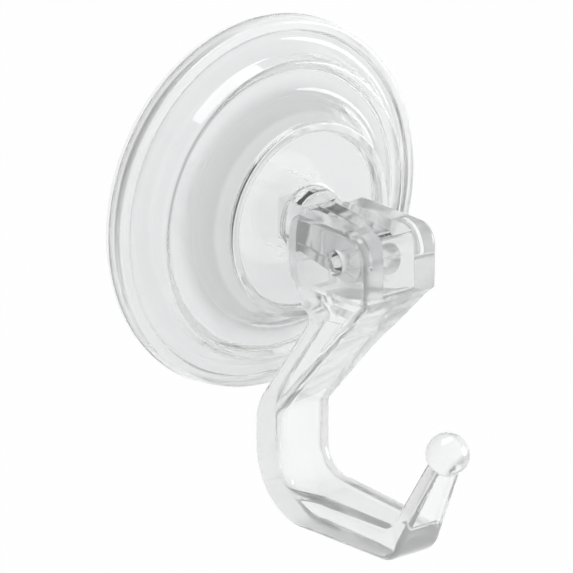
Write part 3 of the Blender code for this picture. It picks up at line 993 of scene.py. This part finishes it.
@dataclass
class Lever:
    """Clevis head with cam, arm, leg, foot and tip with its ball, in one moulding."""

    cam_radius: float = 13.2
    head_top: float = 6.05
    head_reach: float = 8.8
    head_front_bottom: float = -5.7
    nose_radius: float = 4.0
    head_half_width: float = 8.35
    cheek_bottom: float = -10.4
    cheek_sweep: float = 1.6
    slot_half_width: float = 3.5
    slot_floor: float = -8.3
    slot_floor_front: float = -5.6
    slot_floor_knee: float = -5.5
    slot_front_wall: float = 1.65
    edge: float = 1.2
    chin_along: float = 2.5
    cheek_along: float = 9.0
    notch_along: float = 18.0
    arm_depth_head: float = 8.0
    arm_depth_leg: float = 5.1
    arm_sink: float = 0.4
    arm_half_width: float = 7.6
    arm_taper: float = 20.0
    facet_start: float = 9.7
    facet_shoulder: float = 13.7
    facet_knee: float = 26.0
    facet_end: float = 36.5
    facet_inset: float = 1.7
    facet_width: float = 3.4
    facet_depth: float = 0.45
    leg_front: float = -17.3
    leg_depth: float = 7.4
    leg_top: float = -33.6
    leg_half_width: float = 6.35
    bottom: float = -54.5
    heel_radius: float = 12.6
    throat_radius: float = 5.0
    foot_depth_back: float = 7.5
    foot_depth_front: float = 7.1
    foot_edge: float = 2.2
    toe_half_width: float = 5.1
    toe_reach: float = 3.4
    toe_inner_reach: float = 1.2
    tip_lean: float = 27.5
    tip_depth_toe: float = 3.7
    tip_depth_ball: float = 2.9
    tip_half_width: float = 3.1
    tip_edge: float = 0.9
    tip_lead: float = 0.35
    ball_ahead: float = 21.5
    ball_height: float = -31.75
    ball_radius: float = 3.95
    crown_radius: float = 1.5
    nose_steps: int = 14
    crown_steps: int = 6
    bend_steps: int = 14
    cheek_steps: int = 6
    near_reach: float = 0.8
    notch_reach: float = 1.6
    leg_top_reach: float = 3.2
    spread_share: float = 0.3
    slot_round: float = 1.6
    slot_overshoot: float = 2.0
    bore_reach: float = 12.0
    seat_overshoot: float = 4.0
    facet_knee_share: float = 0.75
    facet_overshoot: float = 4.0
    facet_facing: float = 0.9
    ball_segments: int = 72
    ball_rings: int = 36
    arm_way: Vector = field(init=False)
    arm_behind: Vector = field(init=False)

    def __post_init__(self) -> None:
        """Work out the arm's two directions in the side view."""
        way = Vector((self.leg_front - self.head_reach, self.leg_top - self.head_front_bottom))
        self.arm_way = way.normalized()
        self.arm_behind = Vector((self.arm_way.y, -self.arm_way.x))

    def cam(self, height: float) -> float:
        """Work out the head's back: the cam's arc above the pin, a soft sweep below it.

        Args:
            height: height above the pin, in millimetres.

        Returns:
            How far ahead of the pin the back is at that height; it is behind, so below zero.
        """
        if height >= 0.0:
            return -math.sqrt(self.cam_radius**2 - height**2)
        return self.cheek_sweep * (height / self.cheek_bottom) ** 2 - self.cam_radius

    def on_arm(self, along: float, depth: float) -> Vector:
        """Return the place at a length down the arm's front and a depth behind it."""
        top = Vector((self.head_reach, self.head_front_bottom))
        return top + self.arm_way * along + self.arm_behind * depth

    def arm_width(self, along: float) -> float:
        """Return half the arm's width at a length down its front."""
        share = min(along / self.arm_taper, 1.0)
        return self.arm_half_width + (self.leg_half_width - self.arm_half_width) * share

    def bends(self) -> list[Bend]:
        """Work out the bends from the head to the ball.

        Returns:
            The bends; the first and the last are plain ends.
        """
        lean = math.radians(self.tip_lean)
        up = Vector((math.sin(lean), math.cos(lean)))
        behind = Vector((-math.cos(lean), math.sin(lean)))
        middle = Vector((self.ball_ahead, self.ball_height)) - behind * self.tip_lead
        leg_back = self.leg_front - self.leg_depth
        heel = Vector((leg_back, self.bottom))
        throat = Vector((self.leg_front, self.bottom + self.foot_depth_back))
        toe_outer = meet(heel, Vector((1.0, 0.0)), middle - behind * 0.5 * self.tip_depth_toe, up)
        foot_front = Vector((toe_outer.x, self.bottom + self.foot_depth_front))
        toe_inner = meet(throat, foot_front - throat, middle + behind * 0.5 * self.tip_depth_toe, up)
        leg_top_back = meet(self.on_arm(0.0, self.arm_depth_leg), self.arm_way, heel, Vector((0.0, -1.0)))
        cheek = Vector((self.cheek_sweep - self.cam_radius, self.cheek_bottom))
        start = Vector((self.cam(self.head_front_bottom), self.head_front_bottom))
        low = 0.5 * (self.head_front_bottom + self.cheek_bottom)
        chin = Vector((self.cam(low), low))
        spread = self.spread_share * self.cheek_along
        near = self.near_reach
        leg_top_front = Vector((self.leg_front, self.leg_top))
        leg_width = self.leg_half_width
        e = self.edge
        f = self.foot_edge
        return [
            Bend(start, self.on_arm(0.0, 0.0), 0.0, 0.0, self.head_half_width, e, e),
            Bend(chin, self.on_arm(self.chin_along, 0.0), near, near, self.arm_width(self.chin_along), e, e),
            Bend(
                cheek,
                self.on_arm(self.cheek_along, 0.0),
                near,
                spread,
                self.arm_width(self.cheek_along),
                e,
                e,
            ),
            Bend(
                self.on_arm(self.notch_along, self.arm_depth_head),
                self.on_arm(self.notch_along, self.arm_sink),
                self.notch_reach,
                spread,
                self.arm_width(self.notch_along),
                e,
                e,
            ),
            Bend(leg_top_back, leg_top_front, self.leg_top_reach, near, leg_width, e, f),
            Bend(heel, throat, self.heel_radius, self.throat_radius, leg_width, e, f),
            Bend(toe_outer, toe_inner, self.toe_reach, self.toe_inner_reach, self.toe_half_width, e, e),
            Bend(
                middle - behind * 0.5 * self.tip_depth_ball,
                middle + behind * 0.5 * self.tip_depth_ball,
                0.0,
                0.0,
                self.tip_half_width,
                self.tip_edge,
                self.tip_edge,
            ),
        ]

    def crown(self, low: float) -> list[Vector]:
        """Work out the head's back from its top over the rounded crown down to a height.

        Args:
            low: the last point's height above the pin, in millimetres.

        Returns:
            The points as (ahead, height), in millimetres.
        """
        high = self.head_top - self.crown_radius
        corner = Vector((self.cam(self.head_top), self.head_top))
        start = corner + Vector((self.crown_radius, 0.0))
        points = arc(start, corner, Vector((self.cam(high), high)), self.crown_steps)
        rest = self.nose_steps - self.crown_steps
        for i in range(1, rest + 1):
            height = high + (low - high) * i / rest
            points.append(Vector((self.cam(height), height)))
        return points

    def stations(self) -> list[Station]:
        """Work out the lever's stations from the top of its head to the end of its tip.

        Returns:
            The stations in order.
        """
        rows = []
        nose_height = self.head_top - self.nose_radius
        e = self.edge
        for i, back in enumerate(self.crown(nose_height)):
            turn = math.radians(90.0) * i / self.nose_steps
            height = nose_height + self.nose_radius * math.cos(turn)
            front = self.head_reach - self.nose_radius * (1.0 - math.sin(turn))
            rows.append(Station(back, Vector((front, height)), self.head_half_width, e, e))
        for i in range(1, self.cheek_steps + 1):
            height = nose_height + (self.head_front_bottom - nose_height) * i / self.cheek_steps
            back = Vector((self.cam(height), height))
            rows.append(Station(back, Vector((self.head_reach, height)), self.head_half_width, e, e))
        bends = self.bends()
        for before, bend, after in zip(bends, bends[1:], bends[2:]):
            backs = turn_corner(before.back, bend.back, after.back, bend.back_reach, self.bend_steps)
            fronts = turn_corner(before.front, bend.front, after.front, bend.front_reach, self.bend_steps)
            for back, front in zip(backs, fronts):
                rows.append(Station(back, front, bend.half_width, bend.back_edge, bend.front_edge))
        end = bends[-1]
        rows.append(Station(end.back, end.front, end.half_width, end.back_edge, end.front_edge))
        return rows

    @staticmethod
    def corners(mesh: bmesh.types.BMesh, backs: list[Vector], fronts: list[Vector]) -> Corners:
        """Find the vertices that stand at the stations.

        Args:
            mesh: the extruded strip.
            backs: the stations' places on the back.
            fronts: the stations' places on the front.

        Returns:
            The vertices by side (0 left, 1 right), line (0 back, 1 front) and station.
        """
        found = {}
        for vert in mesh.verts:
            side = 0 if vert.co.x < 0.0 else 1
            for line, places in enumerate((backs, fronts)):
                for i, place in enumerate(places):
                    if abs(vert.co.y - place.y) < NEAR and abs(vert.co.z - place.z) < NEAR:
                        found[(side, line, i)] = vert
        return found

    def weigh_edges(self, mesh: bmesh.types.BMesh, corner: Corners, rows: list[Station]) -> None:
        """Give the long edges and the head's top edge on each side the bevel weights of their radii.

        Args:
            mesh: the extruded strip.
            corner: its vertices by side, line and station.
            rows: the stations.
        """
        weights = mesh.edges.layers.float.new("bevel_weight_edge")
        for side in (0, 1):
            for i, (row, after) in enumerate(zip(rows, rows[1:])):
                totals = (row.back_edge + after.back_edge, row.front_edge + after.front_edge)
                for line, total in enumerate(totals):
                    edge = mesh.edges.get((corner[(side, line, i)], corner[(side, line, i + 1)]))
                    edge[weights] = 0.5 * total / self.foot_edge
            rim = mesh.edges.get((corner[(side, 0, 0)], corner[(side, 1, 0)]))
            rim[weights] = self.edge / self.foot_edge

    @staticmethod
    def widen(lever: bpy.types.Object, mesh: bmesh.types.BMesh, corner: Corners, rows: list[Station]) -> None:
        """Scale each run of stations of one width across, in edit mode.

        Args:
            lever: the strip, two millimetres wide.
            mesh: its mesh.
            corner: its vertices by side, line and station.
            rows: the stations.
        """
        first = 0
        while first < len(rows):
            last = first
            while last + 1 < len(rows) and rows[last + 1].half_width == rows[first].half_width:
                last += 1
            bpy.ops.mesh.select_all(action="DESELECT")
            for vert in mesh.verts:
                vert.select = False
            for (_, _, i), vert in corner.items():
                if first <= i <= last:
                    vert.select = True
            mesh.select_flush_mode()
            bmesh.update_edit_mesh(lever.data)
            bpy.ops.transform.resize(value=(rows[first].half_width, 1.0, 1.0), center_override=CENTRE)
            first = last + 1

    def join_sides(self, lever: bpy.types.Object, mesh: bmesh.types.BMesh, corner: Corners) -> None:
        """Make each side of the head one face, so that no short edge stops the bevel, in edit mode.

        Args:
            lever: the widened strip.
            mesh: its mesh.
            corner: its vertices by side, line and station.
        """
        bpy.ops.mesh.select_all(action="DESELECT")
        bpy.ops.mesh.select_mode(type="EDGE")
        for side in (0, 1):
            for i in range(1, self.nose_steps + self.cheek_steps):
                mesh.edges.get((corner[(side, 0, i)], corner[(side, 1, i)])).select = True
        bmesh.update_edit_mesh(lever.data)
        bpy.ops.mesh.dissolve_edges(use_verts=False)

    def strip(self) -> bpy.types.Object:
        """Draw the lever's side view as a strip, extrude it across, taper it and round its long edges.

        Returns:
            The lever without its cuts and its ball.
        """
        rows = self.stations()
        backs = [PIN.point(row.back.x, row.back.y, -1.0) for row in rows]
        fronts = [PIN.point(row.front.x, row.front.y, -1.0) for row in rows]
        lever = Bench.draw("lever", [backs, fronts])
        bpy.ops.mesh.bridge_edge_loops()
        bpy.ops.mesh.select_all(action="SELECT")
        bpy.ops.mesh.extrude_region_move(TRANSFORM_OT_translate={"value": (2.0 * MM, 0.0, 0.0)})
        Bench.clean()
        mesh = bmesh.from_edit_mesh(lever.data)
        corner = self.corners(mesh, backs, fronts)
        self.weigh_edges(mesh, corner, rows)
        self.widen(lever, mesh, corner, rows)
        self.join_sides(lever, mesh, corner)
        bpy.ops.object.mode_set(mode="OBJECT")
        Bench.soften(lever, self.foot_edge)
        return lever

    def slot_cutter(self) -> bpy.types.Object:
        """Model the clevis slot: open at the back and the top, its floor rising to a thin front wall.

        Returns:
            The cutter.
        """
        front = self.head_reach - self.slot_front_wall
        top = self.head_top + self.slot_overshoot
        back = -self.cam_radius - self.slot_overshoot
        outline = rounded(
            [
                Corner(self.slot_floor_knee, self.slot_floor, self.slot_round),
                Corner(front, self.slot_floor_front, self.slot_round),
                Corner(front, top),
                Corner(back, top),
                Corner(back, self.slot_floor),
            ],
            closed=True,
        )
        places = [PIN.point(ahead, height, -self.slot_half_width) for ahead, height in outline]
        return Bench.slab("slot_cutter", places, Vector((2.0 * self.slot_half_width * MM, 0.0, 0.0)))

    def facet_cutter(self, side: int) -> bpy.types.Object:
        """Model the cutter of the spear-shaped facet on one side.

        Args:
            side: -1 for the left side, 1 for the right.

        Returns:
            The cutter.
        """
        corners = [
            (self.facet_start, self.facet_inset),
            (self.facet_shoulder, self.facet_inset + self.facet_width),
            (self.facet_knee, self.facet_inset + self.facet_knee_share * self.facet_width),
            (self.facet_end, self.facet_inset),
        ]
        places = []
        for along, depth in corners:
            place = self.on_arm(along, depth)
            places.append(PIN.point(place.x, place.y, side * (self.arm_width(along) - self.facet_depth)))
        return Bench.slab("facet_cutter", places, Vector((side * self.facet_overshoot * MM, 0.0, 0.0)))

    def build(self) -> bpy.types.Object:
        """Model the lever.

        Returns:
            The finished solid.
        """
        lever = self.strip()
        Bench.combine(lever, self.slot_cutter(), "DIFFERENCE")
        Bench.combine(lever, pin_cutter("bore", PIN.radius + PIN.clearance, self.bore_reach), "DIFFERENCE")
        seat = PIN.recess + PIN.head_length + PIN.clearance
        reach = 0.5 * (seat + self.seat_overshoot)
        centre = -self.head_half_width + seat - reach
        seat_cutter = pin_cutter("seat", PIN.head_radius + PIN.clearance, reach, centre)
        Bench.combine(lever, seat_cutter, "DIFFERENCE")
        for side in (-1, 1):
            Bench.combine(lever, self.facet_cutter(side), "DIFFERENCE")
        Bench.clear_selection()
        bpy.ops.mesh.primitive_uv_sphere_add(
            segments=self.ball_segments,
            ring_count=self.ball_rings,
            radius=self.ball_radius * MM,
            location=PIN.point(self.ball_ahead, self.ball_height),
        )
        ball = bpy.context.active_object
        bpy.ops.object.transform_apply(location=True, rotation=True, scale=True)
        Bench.combine(lever, ball, "UNION")
        Bench.polish(lever)
        return lever

    def in_facet(self, place: Vector) -> bool:
        """Tell whether a place lies on the floor of one of the two facets.

        Args:
            place: the place, in metres.

        Returns:
            True on a facet's floor.
        """
        side_view = Vector((-place.y / MM - PIN.forward, place.z / MM + PIN.drop)) - self.on_arm(0.0, 0.0)
        along = side_view.dot(self.arm_way)
        depth = side_view.dot(self.arm_behind)
        inside = self.facet_start < along < self.facet_end and self.facet_inset < depth < self.arm_depth_leg
        return inside and abs(place.x) / MM < self.arm_width(along) - 0.5 * self.facet_depth

    def frost_and_shade_facets(self, lever: bpy.types.Object, material: bpy.types.Material) -> None:
        """Give the floors of the facets a duller, rougher finish with a darker tint, which is painted shade,
        so that their spear shape shows.

        Args:
            lever: the dressed lever.
            material: the finish of the facets.
        """
        sideways = self.facet_facing
        Bench.paint(
            lever, material, lambda face: abs(face.normal.x) > sideways and self.in_facet(face.center)
        )


@dataclass(frozen=True)
class Softbox:
    """Elliptical lamp that points at the hook; place and size in metres, power in watts."""

    name: str
    place: Vector
    width: float
    height: float
    power: float
    lights_matt: bool = True

    def hang(self) -> None:
        """Put the lamp in the scene, unseen through clear plastic, so that it leaves no white patch there."""
        data = bpy.data.lights.new(self.name, "AREA")
        data.shape = "ELLIPSE"
        data.size = self.width
        data.size_y = self.height
        data.energy = self.power
        lamp = bpy.data.objects.new(self.name, data)
        lamp.location = self.place
        lamp.rotation_euler = (self.place - LAMP_AIM).to_track_quat("Z", "Y").to_euler()
        lamp.visible_transmission = False
        lamp.visible_diffuse = self.lights_matt
        bpy.context.scene.collection.objects.link(lamp)


@dataclass
class Studio:
    """Pale floor, soft light and the camera."""

    azimuth: float = -39.56
    elevation: float = 19.57
    distance: float = 1200.0
    pixels_per_mm: float = 5.55
    centre_column: float = 254.9
    centre_row: float = 198.4
    frame_pixels: int = 573
    floor_height: float = -0.26
    side_tone: float = 0.93
    dark_tone: float = 0.45
    dark_azimuth: float = -165.0
    dark_elevation: float = 25.0
    backdrop_blend: tuple[float, float] = (0.35, 0.9)
    dark_blend: tuple[float, float] = (0.5, 0.8)
    sensor_width: float = 36.0
    clip_start: float = 0.05
    floor_size: float = 12.0
    floor_cells: int = 8
    floor_paint: float = 0.9
    floor_roughness: float = 0.9
    floor_glow: float = 0.96

    @staticmethod
    def direction(azimuth: float, elevation: float) -> Vector:
        """Return the direction at an azimuth and an elevation.

        Args:
            azimuth: turn about the vertical from the front, in degrees.
            elevation: height above the level, in degrees.

        Returns:
            The direction, of length one.
        """
        a = math.radians(azimuth)
        e = math.radians(elevation)
        return Vector((math.sin(a) * math.cos(e), -math.cos(a) * math.cos(e), math.sin(e)))

    def back(self) -> Vector:
        """Return the direction from the object to the camera."""
        return self.direction(self.azimuth, self.elevation)

    def camera(self) -> None:
        """Put the camera at the photograph's angle."""
        a = math.radians(self.azimuth)
        right = Vector((math.cos(a), math.sin(a), 0.0))
        up = self.back().cross(right)
        half = 0.5 * self.frame_pixels
        look = right * (half - self.centre_column) / self.pixels_per_mm
        look -= up * (half - self.centre_row) / self.pixels_per_mm
        data = bpy.data.cameras.new("camera")
        data.sensor_width = self.sensor_width
        data.sensor_fit = "HORIZONTAL"
        data.lens = self.pixels_per_mm * self.distance * data.sensor_width / self.frame_pixels
        data.clip_start = self.clip_start
        camera = bpy.data.objects.new("camera", data)
        camera.location = (look + self.back() * self.distance) * MM
        camera.rotation_euler = self.back().to_track_quat("Z", "Y").to_euler()
        bpy.context.scene.collection.objects.link(camera)
        bpy.context.scene.camera = camera

    def room_tone(self, tree: bpy.types.NodeTree, way: bpy.types.NodeSocket) -> bpy.types.NodeSocket:
        """Add nodes that give the room's brightness in a direction.

        The backdrop opposite the camera is white, the sides are greyer, and one side is darker still.

        Args:
            tree: the node tree to add to.
            way: the direction away from the hook, of length one.

        Returns:
            The socket with the brightness.
        """
        backdrop = self.facing(tree, way, -self.back(), self.backdrop_blend, (self.side_tone, 1.0))
        dark_way = self.direction(self.dark_azimuth, self.dark_elevation)
        dark = self.facing(tree, way, dark_way, self.dark_blend, (1.0, self.dark_tone))
        product = tree.nodes.new("ShaderNodeMath")
        product.operation = "MULTIPLY"
        tree.links.new(backdrop, product.inputs[0])
        tree.links.new(dark, product.inputs[1])
        return product.outputs["Value"]

    @staticmethod
    def facing(
        tree: bpy.types.NodeTree,
        way: bpy.types.NodeSocket,
        target: Vector,
        cosines: tuple[float, float],
        tones: tuple[float, float],
    ) -> bpy.types.NodeSocket:
        """Add nodes that blend two tones by how near a direction is to a target.

        Args:
            tree: the node tree to add to.
            way: the direction.
            target: the target direction.
            cosines: where the blend starts and ends.
            tones: the tone away from the target and the tone at it.

        Returns:
            The socket with the tone.
        """
        dot = tree.nodes.new("ShaderNodeVectorMath")
        dot.operation = "DOT_PRODUCT"
        dot.inputs[1].default_value = target
        tree.links.new(way, dot.inputs[0])
        blend = tree.nodes.new("ShaderNodeMapRange")
        blend.interpolation_type = "SMOOTHSTEP"
        blend.inputs["From Min"].default_value = cosines[0]
        blend.inputs["From Max"].default_value = cosines[1]
        blend.inputs["To Min"].default_value = tones[0]
        blend.inputs["To Max"].default_value = tones[1]
        tree.links.new(dot.outputs["Value"], blend.inputs["Value"])
        return blend.outputs["Result"]

    def world(self) -> None:
        """White behind the hook, with greyer sides for its edges to show."""
        world = bpy.data.worlds.new("studio")
        bpy.context.scene.world = world
        world.use_nodes = True
        nodes = world.node_tree.nodes
        links = world.node_tree.links
        nodes.clear()
        out = nodes.new("ShaderNodeOutputWorld")
        seen = nodes.new("ShaderNodeBackground")
        seen.inputs["Color"].default_value = (1.0, 1.0, 1.0, 1.0)
        room = nodes.new("ShaderNodeBackground")
        path = nodes.new("ShaderNodeLightPath")
        mix = nodes.new("ShaderNodeMixShader")
        place = nodes.new("ShaderNodeTexCoord")
        links.new(self.room_tone(world.node_tree, place.outputs["Generated"]), room.inputs["Color"])
        links.new(path.outputs["Is Camera Ray"], mix.inputs["Fac"])
        links.new(room.outputs["Background"], mix.inputs[1])
        links.new(seen.outputs["Background"], mix.inputs[2])
        links.new(mix.outputs["Shader"], out.inputs["Surface"])

    def floor(self) -> None:
        """Pale floor well below the hook, which keeps its shadow."""
        Bench.clear_selection()
        cells = self.floor_cells
        bpy.ops.mesh.primitive_grid_add(
            x_subdivisions=cells, y_subdivisions=cells, size=self.floor_size, location=CENTRE
        )
        floor = bpy.context.active_object
        floor.name = "floor"
        bpy.ops.transform.translate(value=(0.0, 0.0, self.floor_height))
        bpy.ops.object.transform_apply(location=True, rotation=True, scale=True)
        material = bpy.data.materials.new("floor_paint")
        material.use_nodes = True
        nodes = material.node_tree.nodes
        links = material.node_tree.links
        shader = nodes["Principled BSDF"]
        shader.inputs["Base Color"].default_value = (*[self.floor_paint] * 3, 1.0)
        shader.inputs["Roughness"].default_value = self.floor_roughness
        place = nodes.new("ShaderNodeTexCoord")
        way = nodes.new("ShaderNodeVectorMath")
        way.operation = "NORMALIZE"
        links.new(place.outputs["Object"], way.inputs[0])
        path = nodes.new("ShaderNodeLightPath")
        tone = nodes.new("ShaderNodeMath")
        tone.operation = "MAXIMUM"
        links.new(self.room_tone(material.node_tree, way.outputs["Vector"]), tone.inputs[0])
        links.new(path.outputs["Is Camera Ray"], tone.inputs[1])
        glow = nodes.new("ShaderNodeEmission")
        links.new(tone.outputs["Value"], glow.inputs["Color"])
        mix = nodes.new("ShaderNodeMixShader")
        mix.inputs["Fac"].default_value = self.floor_glow
        links.new(shader.outputs["BSDF"], mix.inputs[1])
        links.new(glow.outputs["Emission"], mix.inputs[2])
        links.new(mix.outputs["Shader"], nodes["Material Output"].inputs["Surface"])
        floor.data.materials.append(material)

    def build(self) -> None:
        """Set up camera, world, floor and lamps."""
        self.camera()
        self.world()
        self.floor()
        Softbox("strip_softbox", Vector((0.0, 0.13, 0.98)), 1.2, 0.6, 7.7, lights_matt=False).hang()
        Softbox("fill_softbox", Vector((0.8, -0.5, 0.1)), 0.6, 0.6, 5.0).hang()


def main() -> None:
    """Build the pieces in order and set up the studio."""
    bpy.context.scene.view_settings.view_transform = "Standard"
    rigid = RIGID.material()
    embedded = EMBEDDED.material()
    cup = SoftCup()
    disc = cup.build()
    dress(disc, SOFT.material(), Body.BASE, "suction_cup")
    cup.clear_boss(disc, embedded)
    cap = PressureCap()
    cover = cap.build()
    # The cap's finish paints shade onto its cone.
    dress(cover, CAP_WITH_PAINTED_SHADE.material(), Body.BASE, "pressure_cap")
    cap.clear_collar(cover, COLLAR.material())
    cap.cloud_rings(cover, RING.material())
    stud = Stud()
    anchor = stud.build()
    dress(anchor, rigid, Body.STUD, "anchor_stud")
    stud.embed_flange(anchor, embedded)
    dress(CrossPin().build(), rigid, Body.STUD, "pivot_pin")
    lever = Lever()
    hook = lever.build()
    dress(hook, THICK.material(), Body.LEVER, "lever_hook")
    # The facet floors get a rougher skin and a darker tint of painted shade.
    lever.frost_and_shade_facets(hook, FACET.material())
    Studio().build()


if __name__ == "__main__":
    main()
